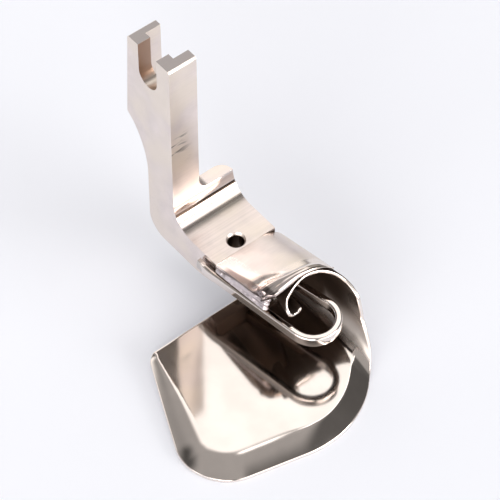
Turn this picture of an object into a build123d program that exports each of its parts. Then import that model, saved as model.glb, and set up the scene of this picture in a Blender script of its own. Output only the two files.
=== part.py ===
"""Rigid hemming presser foot with a scroll hemmer, for a high-shank sewing machine.

Millimetres. X is the operator's right, Y runs to the rear, Z is up. The origin is on the needle axis at the
level of the flat underside of the sole.
"""
import os
from math import acos, atan2, cos, degrees, hypot, radians, sin

from build123d import *

# Sole and heel
sole_left = 5.06            # needle axis to the left face
sole_right = 5.78           # needle axis to the right face
sole_top = 5.6              # height of the milled top face
sole_front = -1.7           # where the sole ends and the cover begins, Y
heel_top = 9.7              # height of the heel block beside the shank
heel_rear = 13.6            # rear face of heel and neck under the shank, Y
heel_corner = 3.2           # round of the lower rear corner
heel_step = 9.95            # rear face of the heel block to the right of the shank, Y
heel_step_round = 1.9       # round of its right corner
toe_start = 4.0             # the underside is flat behind this line, Y
toe_lift = 1.25             # rise of the underside at the front of the sole
needle_hole = 2.3           # diameter
needle_countersink = 2.9    # diameter of the eased rim of the hole
countersink_depth = 0.35
hem_groove_width = 3.0      # relief for the finished hem in the underside
hem_groove_depth = 0.8

# Shank
shank_thickness = 4.72
shank_front = 7.86          # front face, Y
shank_top = 37.4
shank_depth = 9.17          # front to rear at the top
head_flare = 0.9            # the head is this much deeper at its lower end
head_height = 16.0          # of the head's rear face
head_corner = 1.4           # run of the slope below the head
head_slope = 1.2            # and its drop
neck_bend = 13.0            # radius of the hollow behind the neck
front_fillet = 4.1          # hollow between the shank and the sole top
side_fillet = 2.0           # hollow between the shank and the heel block
edge_ease = 0.3             # bevel of the shank's outer edges
slot_width = 4.0            # for the clamp screw
slot_depth = 6.8
slot_from_front = 4.84      # slot centre behind the front face
channel_width = 6.1         # seat for the presser bar
channel_depth = 2.57
channel_length = 15.0

# Lip plate and right wall of the scroll
sheet = 0.6                 # thickness of the formed sheet
lip_top = -3.6              # top of the flat lip plate
lip_rear = -2.6             # rear edge, Y
lip_left = 18.3             # needle axis to the rear left corner
lip_left_reach = 28.25      # needle axis to the front left corner, before it is rounded
lip_left_front = -25.1      # Y of that corner
lip_front_x = -2.75         # foremost corner, before it is rounded
lip_front_y = -31.35
lip_wall_front = -21.7      # where the front edge would meet the wall, Y
lip_rear_round = 1.5
lip_left_round = 7.4
lip_front_round = 16.0
lip_wall_round = 9.0
border = 2.7                # width of the turned-down border
border_drop = 1.35
border_fade = 9.0           # the border dies out over this run beside the wall
lip_overrun = 10.8          # the lip is drawn this much past the edges where it is trimmed
wall_right = 7.9            # outer face of the right wall, X
wall_corner = 4.5           # outer radius between lip and wall

# Conical roof
mouth = -12.5               # section where the mouth's sizes are given, Y
mouth_top = 9.8
mouth_radius = 7.0
cover_rear_thickness = 1.1
cover_thickness = 1.0       # at the mouth
cover_right_angle = 35.0    # the cover thins out here
cover_left_angle = 148.0
cover_left_front = -12.3    # front edge of the cover at its left end, Y
cover_front_turn = 7.0      # the front edge runs forward to the right by this angle
roof_front = -12.2          # front edge of the sheet under the cover, Y
wall_front = -17.5          # front edge of the sheet at the middle of the wall, Y
wall_front_height = 2.4

# Inner curl
curl_rear = -10.5
curl_front = -16.0
curl_rear_radius = 1.2
curl_radius = 2.0           # at the front section
hook_share = 0.72           # hook radius as a share of the curl's
curl_leaves = 130.0         # angle where the curl leaves the roof
hook_from = 215.0
hook_to = 330.0
curl_edge_top = -12.6       # front edge of the curl, at the roof, Y
curl_edge_run = 2.9         # how far forward it slants on its way down
curl_edge_fall = 3.6

# Tongue, a bar bent round its tip
tongue_height = 1.8
tongue_width = 1.0          # of the bar, seen from above
tongue_edge = 0.3           # bevel of its free edges
tip_radius = 4.1            # outside of the bend
tip_x = 0.3
tip_y = -16.8
root_right = 1.3            # outer edge of the right leg at the sole, X
tab_width = 1.1             # end of the left leg, along the side of the sole
tab_rear = 1.4              # Y
tab_front = -0.6
crevice_rear = 0.75         # open crevice between the tab and the side of the sole, Y
crevice_height = 0.5
crevice_depth = 0.5

# Solder seam
seam_rear = -2.3            # Y
seam_front = -11.9
seam_crest = 0.3            # width of the bead at the top of the sole

full_turn = 360.0
far = 80.0                  # longer than any feature, for cutters
closeness = 0.02            # for finding an edge or face by its place


def side_plane(x):
    """Drawing plane across X: local x runs to the rear, local y up."""
    return Plane(origin=(x, 0, 0), x_dir=(0, 1, 0), z_dir=(1, 0, 0))


def cross_plane(y):
    """Drawing plane across Y: local x runs to the right, local y up."""
    return Plane(origin=(0, y, 0), x_dir=(1, 0, 0), z_dir=(0, -1, 0))


def on_circle(centre, radius, angle):
    turn = radians(angle)
    return (centre[0] + radius * cos(turn), centre[1] + radius * sin(turn))


def arc(centre, radius, start, end):
    middle = on_circle(centre, radius, (start + end) / 2)
    return ThreePointArc(on_circle(centre, radius, start), middle, on_circle(centre, radius, end))


def slab(face, low, high):
    """A flat drawing extruded between two levels."""
    return extrude(Pos(0, 0, low) * face, high - low)


def edges_at(part, along, **places):
    """Straight edges along an axis that lie at the given places on the other axes."""
    axes = {"x": Axis.X, "y": Axis.Y, "z": Axis.Z}
    found = part.edges().filter_by(along)
    for name, value in places.items():
        found = found.filter_by_position(axes[name], value - closeness, value + closeness)
    return found


def tangent_angle(point, centre, radius, side):
    """Angle at which a line from a point touches a circle: side 1 is its left, side -1 its right."""
    away = hypot(point[0] - centre[0], point[1] - centre[1])
    facing = atan2(point[1] - centre[1], point[0] - centre[0])
    return degrees(facing + side * acos(radius / away))


# Shank and sole

shank_right = shank_thickness - sole_left
bar_centre = shank_front + slot_from_front
tongue_top = sole_top - cover_rear_thickness


def foot_profile():
    """Side outline of heel and sole."""
    outline = Polyline(
        (sole_front, toe_lift), (sole_front, sole_top), (shank_front, sole_top), (shank_front, heel_top),
        (heel_rear, heel_top), (heel_rear, 0), (toe_start, 0),
    )
    toe = TangentArc((toe_start, 0), (sole_front, toe_lift), tangent=(-1, 0))
    return make_face([outline, toe])


def shank_profile():
    """Side outline of the shank from the heel up, with the hollow behind the neck."""
    rear = shank_front + shank_depth
    rear_low = rear + head_flare
    low = shank_top - head_height
    hollow_end = (rear_low - head_corner, low - head_slope)
    reach = hollow_end[0] - heel_rear
    hollow_drop = (neck_bend ** 2 - (neck_bend - reach) ** 2) ** 0.5
    hollow_start = (heel_rear, hollow_end[1] - hollow_drop)
    root = sole_top / 2
    outline = Polyline(
        hollow_end, (rear_low, low), (rear, shank_top), (shank_front, shank_top),
        (shank_front, root), (heel_rear, root), hollow_start,
    )
    hollow = TangentArc(hollow_start, hollow_end, tangent=(0, 1))
    return make_face([outline, hollow])


def clamp_slot():
    """U slot through the shank, open at the top."""
    low = shank_top - slot_depth + slot_width / 2
    drawing = Pos(bar_centre, low) * Circle(slot_width / 2)
    drawing += Pos(bar_centre, low + far / 2) * Rectangle(slot_width, far)
    return extrude(side_plane(-far / 2) * drawing, far)


def bar_channel():
    """Seat for the presser bar in the right face of the shank."""
    drawing = Pos(bar_centre, shank_top - channel_length + far / 2) * Rectangle(channel_width, far)
    return extrude(side_plane(shank_right - channel_depth) * drawing, far)


def crevice():
    """Open gap above the tab of the tongue, in the left face of the sole."""
    drawing = Polyline(
        (-far, tongue_top), (crevice_rear, tongue_top), (crevice_rear, tongue_top + crevice_height),
        (-far, tongue_top + crevice_height), close=True,
    )
    return extrude(side_plane(-sole_left) * make_face(drawing), crevice_depth)


def behind_heel_block():
    """Room behind the heel block, to the right of the shank."""
    room = Box(far, far, far, align=(Align.MIN, Align.MIN, Align.CENTER))
    return Pos(shank_right, heel_step, 0) * room


def shank_and_sole():
    sole = extrude(side_plane(-sole_left) * foot_profile(), sole_left + sole_right)
    shank = extrude(side_plane(-sole_left) * shank_profile(), shank_thickness)
    body = sole + shank
    body = fillet(edges_at(body, Axis.X, y=shank_front, z=sole_top), front_fillet)
    body = fillet(edges_at(body, Axis.Y, x=shank_right, z=heel_top), side_fillet)
    body = fillet(edges_at(body, Axis.X, y=heel_rear, z=0), heel_corner)
    body = chamfer(edges_at(body, Axis.X, z=shank_top), edge_ease)
    body -= behind_heel_block()
    body = fillet(edges_at(body, Axis.Z, x=sole_right, y=heel_step), heel_step_round)
    body -= clamp_slot()
    body -= bar_channel()
    body -= Pos(0, 0, sole_top / 2) * Cylinder(needle_hole / 2, far)
    rim = Pos(0, 0, sole_top - countersink_depth / 2)
    body -= rim * Cone(needle_hole / 2, needle_countersink / 2, countersink_depth)
    body -= crevice()
    groove = Rectangle(hem_groove_width, 2 * hem_groove_depth)
    return body - extrude(cross_plane(far / 2) * groove, far)


# Conical roof, shared by the cover and the scroll sheet

corner_z = lip_top - sheet + wall_corner
rear_radius = sole_top - corner_z


def share(y):
    """How far a section lies from the rear edge of the cover to its mouth."""
    return (sole_front - y) / (sole_front - mouth)


def roof_outside(y):
    """Centre and radius of the cover's outside: each section is tangent to the right wall."""
    radius = rear_radius + (mouth_radius - rear_radius) * share(y)
    height = corner_z + (mouth_top - mouth_radius - corner_z) * share(y)
    return (wall_right - radius, height), radius


def roof_inside(y):
    """Centre and radius of the cover's inside, which is the scroll sheet's outside."""
    centre, radius = roof_outside(y)
    radius -= cover_rear_thickness + (cover_thickness - cover_rear_thickness) * share(y)
    return (wall_right - radius, centre[1]), radius


def cover_section(y, flat):
    """Cover across Y: a crescent whose left part is flat at the rear and round at the mouth."""
    out, out_r = roof_outside(y)
    inn, inn_r = roof_inside(y)
    if flat:
        left_out = (-sole_left, out[1] + out_r)
        left_in = (-sole_left, inn[1] + inn_r)
        over = Line(left_out, on_circle(out, out_r, 90))
        under = Line(on_circle(inn, inn_r, 90), left_in)
    else:
        left_out = on_circle(out, out_r, cover_left_angle)
        left_in = on_circle(inn, inn_r, cover_left_angle)
        over = arc(out, out_r, cover_left_angle, 90)
        under = arc(inn, inn_r, 90, cover_left_angle)
    right = Line(on_circle(out, out_r, cover_right_angle), on_circle(inn, inn_r, cover_right_angle))
    edges = [
        over, arc(out, out_r, 90, cover_right_angle), right, arc(inn, inn_r, cover_right_angle, 90),
        under, Line(left_in, left_out),
    ]
    return cross_plane(y) * make_face(edges)


def cover():
    blank = loft([cover_section(sole_front, True), cover_section(curl_front, False)], ruled=True)
    ahead = Pos(-sole_left, cover_left_front, 0) * Rot(0, 0, -cover_front_turn)
    return blank - ahead * Pos(0, -far / 2, 0) * Box(far * 2, far, far)


# Scroll plate

def extended(start, end, extra):
    """A point beyond the end of a line."""
    run = hypot(end[0] - start[0], end[1] - start[1])
    share_beyond = 1 + extra / run
    return (start[0] + (end[0] - start[0]) * share_beyond, start[1] + (end[1] - start[1]) * share_beyond)


def lip_outline(beyond):
    """Plan of the lip; its left and front edges may run on past the rear edge and the wall."""
    front_left = (-lip_left_reach, lip_left_front)
    front = (lip_front_x, lip_front_y)
    left = extended(front_left, (-lip_left, lip_rear), beyond)
    last = extended(front, (wall_right, lip_wall_front), beyond)
    outline = make_face(Polyline((last[0], left[1]), left, front_left, front, last, close=True))
    for place, radius in ((front_left, lip_left_round), (front, lip_front_round), (last, lip_wall_round)):
        corner = outline.vertices().sort_by_distance(place)[0]
        outline = fillet(corner, radius)
    return outline


def lip_plate():
    """Flat lip with its border turned down: an even layer under a bevelled top."""
    edge_level = lip_top - border_drop
    under = lip_top - far
    wall_foot = wall_right - wall_corner
    outline = lip_outline(lip_overrun)
    slope = degrees(atan2(border, border_drop))
    bevel = extrude(Pos(0, 0, edge_level) * outline, border_drop, taper=slope)
    fade = Polyline(
        (wall_foot, under), (wall_foot, lip_top), (wall_foot - border_fade, edge_level),
        (wall_foot - border_fade, under), close=True,
    )
    base = slab(outline, under, edge_level)
    ramp = slab(outline, under, lip_top) & extrude(cross_plane(far / 2) * make_face(fade), far)
    top = bevel + base + ramp
    layer = top - Pos(0, 0, -sheet) * top
    room = Box(far, far, far, align=(Align.MAX, Align.MAX, Align.MIN))
    layer &= Pos(wall_foot, lip_rear, edge_level - sheet) * room
    upright = edges_at(layer, Axis.Z, x=-lip_left, y=lip_rear)
    return fillet(upright, lip_rear_round)


def corner_section(y):
    """Round corner of the sheet between lip and wall, across Y."""
    centre = (wall_right - wall_corner, corner_z)
    inner = wall_corner - sheet
    edges = [
        arc(centre, wall_corner, -90, 0), Line(on_circle(centre, wall_corner, 0), on_circle(centre, inner, 0)),
        arc(centre, inner, 0, -90), Line(on_circle(centre, inner, -90), on_circle(centre, wall_corner, -90)),
    ]
    return cross_plane(y) * make_face(edges)


def wall_section(y):
    """Upright wall and roof quarter of the sheet, across Y."""
    roof, roof_r = roof_inside(y)
    inner = roof_r - sheet
    edges = [
        Line((wall_right, corner_z), on_circle(roof, roof_r, 0)), arc(roof, roof_r, 0, 90),
        Line(on_circle(roof, roof_r, 90), on_circle(roof, inner, 90)), arc(roof, inner, 90, 0),
        Line(on_circle(roof, inner, 0), (wall_right - sheet, corner_z)),
        Line((wall_right - sheet, corner_z), (wall_right, corner_z)),
    ]
    return cross_plane(y) * make_face(edges)


def curl_section(y, radius):
    """End of the sheet across Y: it leaves the roof, curls down and ends in a small hook."""
    roof, roof_r = roof_inside(y)
    hook_r = radius * hook_share
    curl = on_circle(roof, roof_r - radius, curl_leaves)
    hook = on_circle(curl, radius - hook_r, hook_from)
    edges = [
        arc(roof, roof_r, 90, curl_leaves), arc(curl, radius, curl_leaves, hook_from),
        arc(hook, hook_r, hook_from, hook_to),
        Line(on_circle(hook, hook_r, hook_to), on_circle(hook, hook_r - sheet, hook_to)),
        arc(hook, hook_r - sheet, hook_to, hook_from), arc(curl, radius - sheet, hook_from, curl_leaves),
        arc(roof, roof_r - sheet, curl_leaves, 90),
        Line(on_circle(roof, roof_r - sheet, 90), on_circle(roof, roof_r, 90)),
    ]
    return cross_plane(y) * make_face(edges)


def scroll_wall():
    corner = extrude(corner_section(lip_rear), lip_rear - lip_front_y)
    return corner + loft([wall_section(lip_rear), wall_section(lip_front_y)], ruled=True)


def scroll_curl():
    sections = [curl_section(curl_rear, curl_rear_radius), curl_section(curl_front, curl_radius)]
    return loft(sections, ruled=True)


def scroll_roof():
    return scroll_wall() + scroll_curl()


def ahead_of_wall():
    """Cutter for the slanted front edge of the wall, across X."""
    outline = Polyline(
        (roof_front, far), (roof_front, mouth_top), (wall_front, wall_front_height),
        (lip_front_y, lip_top - border_drop), (-far, lip_top - border_drop), (-far, far), close=True,
    )
    return extrude(side_plane(-far / 2) * make_face(outline), far)


def ahead_of_curl():
    """Cutter for the slanted front edge of the curl, across X."""
    low = (curl_edge_top - curl_edge_run, mouth_top - curl_edge_fall)
    outline = Polyline(
        (curl_edge_top, far), (curl_edge_top, mouth_top - sheet), low, (low[0], lip_top), (-far, lip_top),
        (-far, far), close=True,
    )
    return extrude(side_plane(-far / 2) * make_face(outline), far)


def scroll_plate():
    wall = scroll_wall() - ahead_of_wall()
    wall &= slab(lip_outline(0), -far, far)
    curl = scroll_curl() - ahead_of_curl()
    return lip_plate() + wall + curl


# Tongue

tip = (tip_x, tip_y)
knee = (-sole_left - tab_width, tab_front)


def left_leg(y):
    """Outer edge of the tongue's left leg at a section, X."""
    touch = on_circle(tip, tip_radius, tangent_angle(knee, tip, tip_radius, 1))
    return knee[0] + (touch[0] - knee[0]) * (y - knee[1]) / (touch[1] - knee[1])


def tongue():
    """Bar bent round its tip: the left leg lies along the side of the sole, the right one ends at its front."""
    def strand(radius, first, last):
        start = tangent_angle(first, tip, radius, 1)
        end = tangent_angle(last, tip, radius, -1) + full_turn
        bend = arc(tip, radius, start, end)
        return [Line(first, bend @ 0), bend, Line(bend @ 1, last)]

    corner = (-sole_left, sole_front)
    root = (root_right, sole_front)
    inner_root = (root_right - tongue_width, sole_front)
    edges = strand(tip_radius, knee, root) + strand(tip_radius - tongue_width, corner, inner_root)
    edges += [Line(root, inner_root), Polyline(corner, (-sole_left, tab_rear), (knee[0], tab_rear), knee)]
    body = slab(make_face(edges), tongue_top - tongue_height, tongue_top)
    rims = body.faces().sort_by(Axis.Z)[-1].edges() + body.faces().sort_by(Axis.Z)[0].edges()

    def is_free(edge):
        middle = edge @ 0.5
        against_front = abs(middle.Y - sole_front) < closeness
        against_side = abs(middle.X + sole_left) < closeness
        return not (against_front or against_side)

    return chamfer(rims.filter_by(is_free), tongue_edge)


# Solder seam

def solder_seam():
    """Bead that fills the angle between the left edge of the cover and the tongue."""
    out, out_r = roof_outside(seam_front)
    inn, inn_r = roof_inside(seam_front)
    high = on_circle(out, out_r, cover_left_angle)
    low = on_circle(inn, inn_r, cover_left_angle)
    rear = Polyline(
        (-sole_left, tongue_top), (-sole_left, sole_top), (-sole_left - seam_crest, sole_top),
        (left_leg(seam_rear), tongue_top), close=True,
    )
    foot = left_leg(seam_front)
    front = Polyline((foot + tongue_width, tongue_top), low, high, (foot, tongue_top), close=True)
    sections = [cross_plane(seam_rear) * make_face(rear), cross_plane(seam_front) * make_face(front)]
    bead = loft(sections, ruled=True)
    return bead - cover() - scroll_roof() - tongue()


PIECES = {
    "shank_and_sole": shank_and_sole,
    "cover": cover,
    "scroll_plate": scroll_plate,
    "tongue": tongue,
    "solder_seam": solder_seam,
}

os.makedirs("parts", exist_ok=True)
for name, make in PIECES.items():
    export_step(make(), os.path.join("parts", name + ".step"))
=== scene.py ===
"""Hemming presser foot: milled shank and sole, formed cover, polished scroll plate, tongue and solder."""
import math

import bmesh
import bpy
import numpy as np
from bpy.props import FloatProperty, FloatVectorProperty, IntProperty, PointerProperty
from mathutils import Matrix, Vector


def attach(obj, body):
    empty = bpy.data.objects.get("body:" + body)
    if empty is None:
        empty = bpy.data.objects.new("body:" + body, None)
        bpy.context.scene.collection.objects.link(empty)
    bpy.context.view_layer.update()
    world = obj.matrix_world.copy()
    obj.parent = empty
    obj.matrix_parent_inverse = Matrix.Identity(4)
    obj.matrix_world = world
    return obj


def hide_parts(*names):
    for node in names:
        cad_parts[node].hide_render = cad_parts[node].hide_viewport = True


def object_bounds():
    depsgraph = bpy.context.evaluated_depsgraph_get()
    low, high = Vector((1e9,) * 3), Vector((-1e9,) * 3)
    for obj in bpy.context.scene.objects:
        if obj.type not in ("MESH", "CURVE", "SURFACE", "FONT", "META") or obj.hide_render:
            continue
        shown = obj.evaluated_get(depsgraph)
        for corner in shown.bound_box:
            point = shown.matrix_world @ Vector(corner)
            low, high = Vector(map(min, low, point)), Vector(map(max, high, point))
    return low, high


bl_info = {
    "name": "Hemming Presser Foot",
    "version": (1, 0, 0),
    "blender": (4, 5, 0),
    "location": "View3D > Sidebar > Hemmer",
    "description": "Builds the pieces and finishes of a scroll hemming foot around its packed solids",
    "category": "Object",
}

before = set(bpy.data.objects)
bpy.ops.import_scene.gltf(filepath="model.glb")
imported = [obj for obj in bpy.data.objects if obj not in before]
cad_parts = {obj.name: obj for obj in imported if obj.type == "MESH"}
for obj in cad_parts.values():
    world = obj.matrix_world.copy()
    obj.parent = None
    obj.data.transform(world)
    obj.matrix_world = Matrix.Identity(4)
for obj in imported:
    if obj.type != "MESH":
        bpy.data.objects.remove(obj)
CAD_BOX = [list(corner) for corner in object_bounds()]
MM = 0.001
BODY = "root"

# How far a sheet's rounded edge stands out, as a share of half its thickness
RIM_BULGE = 0.8
COVER_EDGE_BULGE = 0.2
COVER_RIM_BULGE = 0.9

# Points of the formed sheets, across and along, and steps round a rounded edge
LIP_COLUMNS = 84
SCROLL_COLUMNS = {"corner": 26, "wall": 5, "roof": 44, "curl": 18, "hook": 22}
SCROLL_ROWS = 92
COVER_LEFT_COLUMNS = 40
COVER_RIGHT_COLUMNS = 34
COVER_ROWS = 56
RIM_STEPS = 5
COVER_RIM_STEPS = 12

# Rounds in which the front edges are found and the scroll's edge is smoothed, and the pace of finding it
SCROLL_EDGE_ROUNDS = 12
SCROLL_EDGE_PACE = 0.7
COVER_EDGE_ROUNDS = 6
SMOOTHING_ROUNDS = 30

# Points of a short arc and a long one in plan, of the tongue's bend and of each edge of its section
SHORT_ARC_POINTS = 16
LONG_ARC_POINTS = 24
BEND_POINTS = 90
SECTION_POINTS = 9

# Points nearer than the first are welded; a step shorter than the second has no direction
WELD = 0.0001 * MM
TINY = 1e-9

# Layers of the solder: start along the seam as a share, height at the start and at the front in mm
SEAM_LAYERS = ((0.0, 0.25, 0.4), (0.2, 0.7, 1.2), (0.35, 1.15, 2.0), (0.5, 1.6, 2.7))

# Where the finish changes: middle of the change and half its width, in mm along X, Y or Z or from an edge
PLACES = {
    "sole face": (6.85, 0.65),
    "fillet low": (6.05, 0.35),
    "fillet high": (10.05, 0.35),
    "fillet front": (3.85, 0.35),
    "marks low": (18.1, 0.5),
    "marks high": (24.0, 0.4),
    "marks right": (-2.9, 1.9),
    "bore": (1.265, 0.085),
    "bore top": (5.35, 0.15),
    "front end": (-1.3, 0.3),
    "front top": (5.3, 0.3),
    "prong tops": (36.95, 0.15),
    "slot right": (-2.8, 0.1),
    "slot low": (30.0, 0.4),
    "slot front": (10.1, 0.3),
    "slot rear": (15.3, 0.3),
    "rim": (2.2, 0.4),
    "lobe right": (-2.6, 0.8),
    "lobe front": (-11.25, 0.75),
    "flank": (0.6, 0.2),
    "flank rear": (-3.5, 1.0),
    "turned inwards": (-3.0, 1.0),
    "wall outside": (6.95, 0.35),
    "inside front": (-17.0, 3.5),
    "inside low": (-1.2, 2.0),
    "deep front": (-12.0, 1.5),
    "deep low": (-3.1, 0.6),
    "deep left": (4.0, 1.0),
    "foot left": (5.0, 0.8),
    "foot top": (0.0, 1.5),
}

# Left edge of the painted shade on the cover's left flank: distance from the needle axis, and its slant in
# plan
FLANK_LEFT = 5.2 * MM
FLANK_SLANT = 0.0861

# Panels round the foot: direction of the middle, half width and half height, softness, level
PANELS = {
    "rear wall": ((0.1, 0.93, 0.3), (0.9, 0.3), 0.2, 1.2),
    "rear window": ((0.1, 0.82, 0.54), (0.24, 0.13), 0.06, 1.7),
    "left window": ((-0.95, -0.1, 0.35), (0.3, 0.3), 0.15, 3.0),
    "shade beside the shank": ((-0.42, 0.47, 0.76), (0.2, 0.13), 0.12, 0.08),
    "shade at the camera": ((-0.5, -0.6, 0.6), (0.4, 0.38), 0.2, 0.1),
    "shade over the front border": ((0.45, -0.36, 0.82), (0.4, 0.25), 0.12, 0.12),
    "shade at the right": ((0.85, -0.08, 0.5), (0.36, 0.35), 0.12, 0.1),
    "light over the plate": ((0.42, 0.47, 0.77), (0.32, 0.36), 0.08, 1.3),
    "strip over the bend": ((0.5, 0.14, 0.855), (0.045, 0.27), 0.03, 2.5),
    "low front lamp": ((0.40, -0.86, 0.27), (0.36, 0.15), 0.06, 12.0),
    "low left lamp": ((-0.78, -0.52, 0.3), (0.4, 0.26), 0.1, 6.0),
    "front window": ((0.15, -0.72, 0.68), (0.36, 0.2), 0.08, 2.0),
    "front strip": ((-0.14, -0.95, 0.13), (0.26, 0.16), 0.08, 2.5),
}


def length(name, description, millimetres):
    """A length property, given in millimetres and kept in metres."""
    return FloatProperty(
        name=name, description=description, default=millimetres * MM, unit="LENGTH", precision=5
    )


def angle(name, description, degrees):
    return FloatProperty(name=name, description=description, default=math.radians(degrees), subtype="ANGLE")


def number(name, description, value):
    return FloatProperty(name=name, description=description, default=value)


def colour(name, description, value):
    return FloatVectorProperty(
        name=name, description=description, default=value, size=3, min=0, max=1, subtype="COLOR"
    )


class RoofSizes(bpy.types.PropertyGroup):
    sole_left: length("Sole left", "Needle axis to the left face of the sole", 5.06)
    sole_top: length("Sole top", "Height of the top of the sole", 5.6)
    sole_front: length("Sole front", "Front end of the sole, along Y", -1.7)
    mouth: length("Mouth", "Section that gives the mouth's sizes, along Y", -12.5)
    mouth_top: length("Mouth top", "Top of the cover at the mouth", 9.8)
    mouth_radius: length("Mouth radius", "Outer radius of the cover at the mouth", 7.0)
    rear_thickness: length("Cover at the rear", "Thickness of the cover at the sole", 1.1)
    mouth_thickness: length("Cover at the mouth", "Thickness of the cover at the mouth", 1.0)
    wall_right: length("Wall", "Outer face of the right wall, along X", 7.9)
    wall_corner: length("Wall corner", "Outer radius between lip and wall", 4.5)
    sheet: length("Sheet", "Thickness of the scroll's sheet", 0.6)
    lip_top: length("Lip top", "Height of the flat lip plate", -3.6)


class LipSizes(bpy.types.PropertyGroup):
    rear: length("Rear edge", "Rear edge of the lip, along Y", -2.6)
    left: length("Rear left", "Rear left corner, along X", -18.3)
    left_reach: length("Left reach", "Front left corner, along X", -28.25)
    left_front: length("Left front", "Front left corner, along Y", -25.1)
    front_x: length("Front X", "Foremost corner, along X", -2.75)
    front_y: length("Front Y", "Foremost corner, along Y", -31.35)
    wall_front: length("Wall front", "Where the front edge meets the wall, along Y", -21.7)
    rear_round: length("Rear round", "Round of the rear left corner", 1.5)
    left_round: length("Left round", "Round of the front left corner", 7.4)
    front_round: length("Front round", "Round of the foremost corner", 16.0)
    wall_round: length("Wall round", "Round of the corner beside the wall", 6.0)
    border: length("Border", "Width of the border turned down at the front", 2.7)
    soft_border: length("Soft border", "Width of the border where it bends softly", 4.4)
    rear_border: length("Rear border", "Width of the border at the rear left corner", 0.7)
    drop: length("Border drop", "How far the border turns down", 1.35)
    soft_left: length("Soft left", "Left of this X the border bends softly", -14.0)
    soft_right: length("Soft right", "Right of this X it bends sharply", -4.0)
    rear_taper: length("Rear taper", "Behind this Y the left border narrows", -20.0)
    rear_drop: number("Rear drop", "Share of the drop that is left at the rear left corner", 0.35)
    sharp_power: number("Sharp bend", "Power of the border's profile where it bends sharply", 1.05)
    soft_power: number("Soft bend", "Power of the profile where it bends softly", 1.75)
    rear_power: number("Rear bend", "Power of the profile towards the rear left corner", 1.4)
    rear_bend: number("Rear bend start", "Share of the taper over which that power comes in", 0.6)
    wall_border: length("Wall border", "Width of the border where it runs up the wall", 3.375)
    wall_power: number("Wall bend", "Power of its profile at the top of the wall's foot", 2.0)
    wall_carry: number("Wall carry", "Share of the wall's foot that the border runs up", 0.8)


class ScrollSizes(bpy.types.PropertyGroup):
    roof_front: length("Roof front", "Front edge under the cover, along Y", -12.2)
    wall_middle: length("Wall front", "Front edge halfway up the wall, along Y", -19.4)
    wall_height: length("Wall height", "Height of that point", 2.4)
    side_front: length("Side front", "Front edge where the wall bends into the roof, along Y", -15.6)
    side_height: length("Side height", "Height of that point", 6.3)
    curl_rear: length("Curl rear", "Rear end of the curl, along Y", -10.5)
    curl_front: length("Curl front", "Section that gives the curl's radius, along Y", -16.0)
    curl_rear_radius: length("Rear curl", "Radius at the rear end", 1.2)
    curl_radius: length("Curl", "Radius at the front section", 2.0)
    hook_share: number("Hook", "Hook radius as a share of the curl's", 0.72)
    step_from: angle("Rear step starts", "Where the sheet's rear edge starts to step forward", 84)
    step_to: angle("Rear step ends", "Where that step ends", 98)
    leaves: angle("Leaves roof", "Where the curl leaves the roof", 130)
    hook_from: angle("Hook starts", "Where the hook starts", 215)
    hook_to: angle("Hook ends", "Where the hook ends", 330)
    edge_top: length("Curl edge", "Front edge of the curl at the roof, along Y", -12.6)
    edge_run: length("Curl slant", "How far forward the curl's edge slants", 2.9)
    edge_fall: length("Curl fall", "How far below the mouth's top the slant ends", 3.6)


class CoverSizes(bpy.types.PropertyGroup):
    right: angle("Right edge", "Where the cover thins out", 35)
    left: angle("Left edge", "Left edge of the cover at the mouth", 137)
    left_front: length("Left front", "Front edge at its left end, along Y", -11.85)
    front_turn: angle("Front turn", "Turn of the front edge in plan", 7)
    flare: length("Flare", "How far the rim's roll stands out at the top", 0.35)
    left_flare: length("Left flare", "How far it stands out at the left", 0.75)
    valley: length("Valley", "Depth of the hollow behind the left part of the rim", 0.35)
    roll: length("Roll", "Front edge to the ridge of the roll, at the top", 0.3)
    left_roll: length("Left roll", "Front edge to the ridge of the roll, at the left", 0.8)
    lean: length("Lean", "How far the lower edge of the rim stands forward at the left", 0.7)
    lean_power: number("Lean power", "How closely that keeps to the front edge", 8.0)
    sharpness: number("Sharpness", "How narrow the ridge of the roll is", 1.3)
    valley_place: number("Valley place", "Front edge to the valley, in widths of the roll", 3.0)
    side_share: number("Side", "Share of the left half that has the full left roll", 0.3)
    end_share: number("Left end", "Share of the left half over which the roll ends", 0.22)
    end_fade: number("End fade", "How strongly the roll fades at its left end", 1.3)
    right_fade: number("Right fade", "Power with which the roll fades to the right", 0.7)


class TongueSizes(bpy.types.PropertyGroup):
    height: length("Height", "Height of the bar", 1.8)
    width: length("Width", "Width of the bar, seen from above", 1.0)
    edge: length("Edge", "Round of the bar's edges", 0.3)
    tip_radius: length("Tip radius", "Outer radius of the bend", 4.1)
    tip_x: length("Tip X", "Centre of the bend, along X", 0.3)
    tip_y: length("Tip Y", "Centre of the bend, along Y", -16.8)
    root_right: length("Root", "Outer edge of the right leg at the sole, along X", 1.3)
    knee: length("Knee", "Round where the left leg turns along the sole", 9.0)
    tab_width: length("Tab width", "Width of the tab beside the sole", 1.1)
    tab_rear: length("Tab rear", "Rear end of the tab, along Y", 1.4)
    tab_front: length("Tab front", "Front end of the tab's straight edge, along Y", -0.6)
    groove: length("Groove", "How far the tab falls off towards the sole", 0.22)
    groove_share: number("Groove start", "Middle of the tab to the groove, as a share of half its width", 0.4)
    slope: length("Slope", "How far the tab falls off outwards", 0.22)
    slope_front: length("Slope front", "Where slope and groove start, along Y", -2.8)
    slope_full: length("Slope full", "Where they are full, along Y", -1.0)


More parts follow.
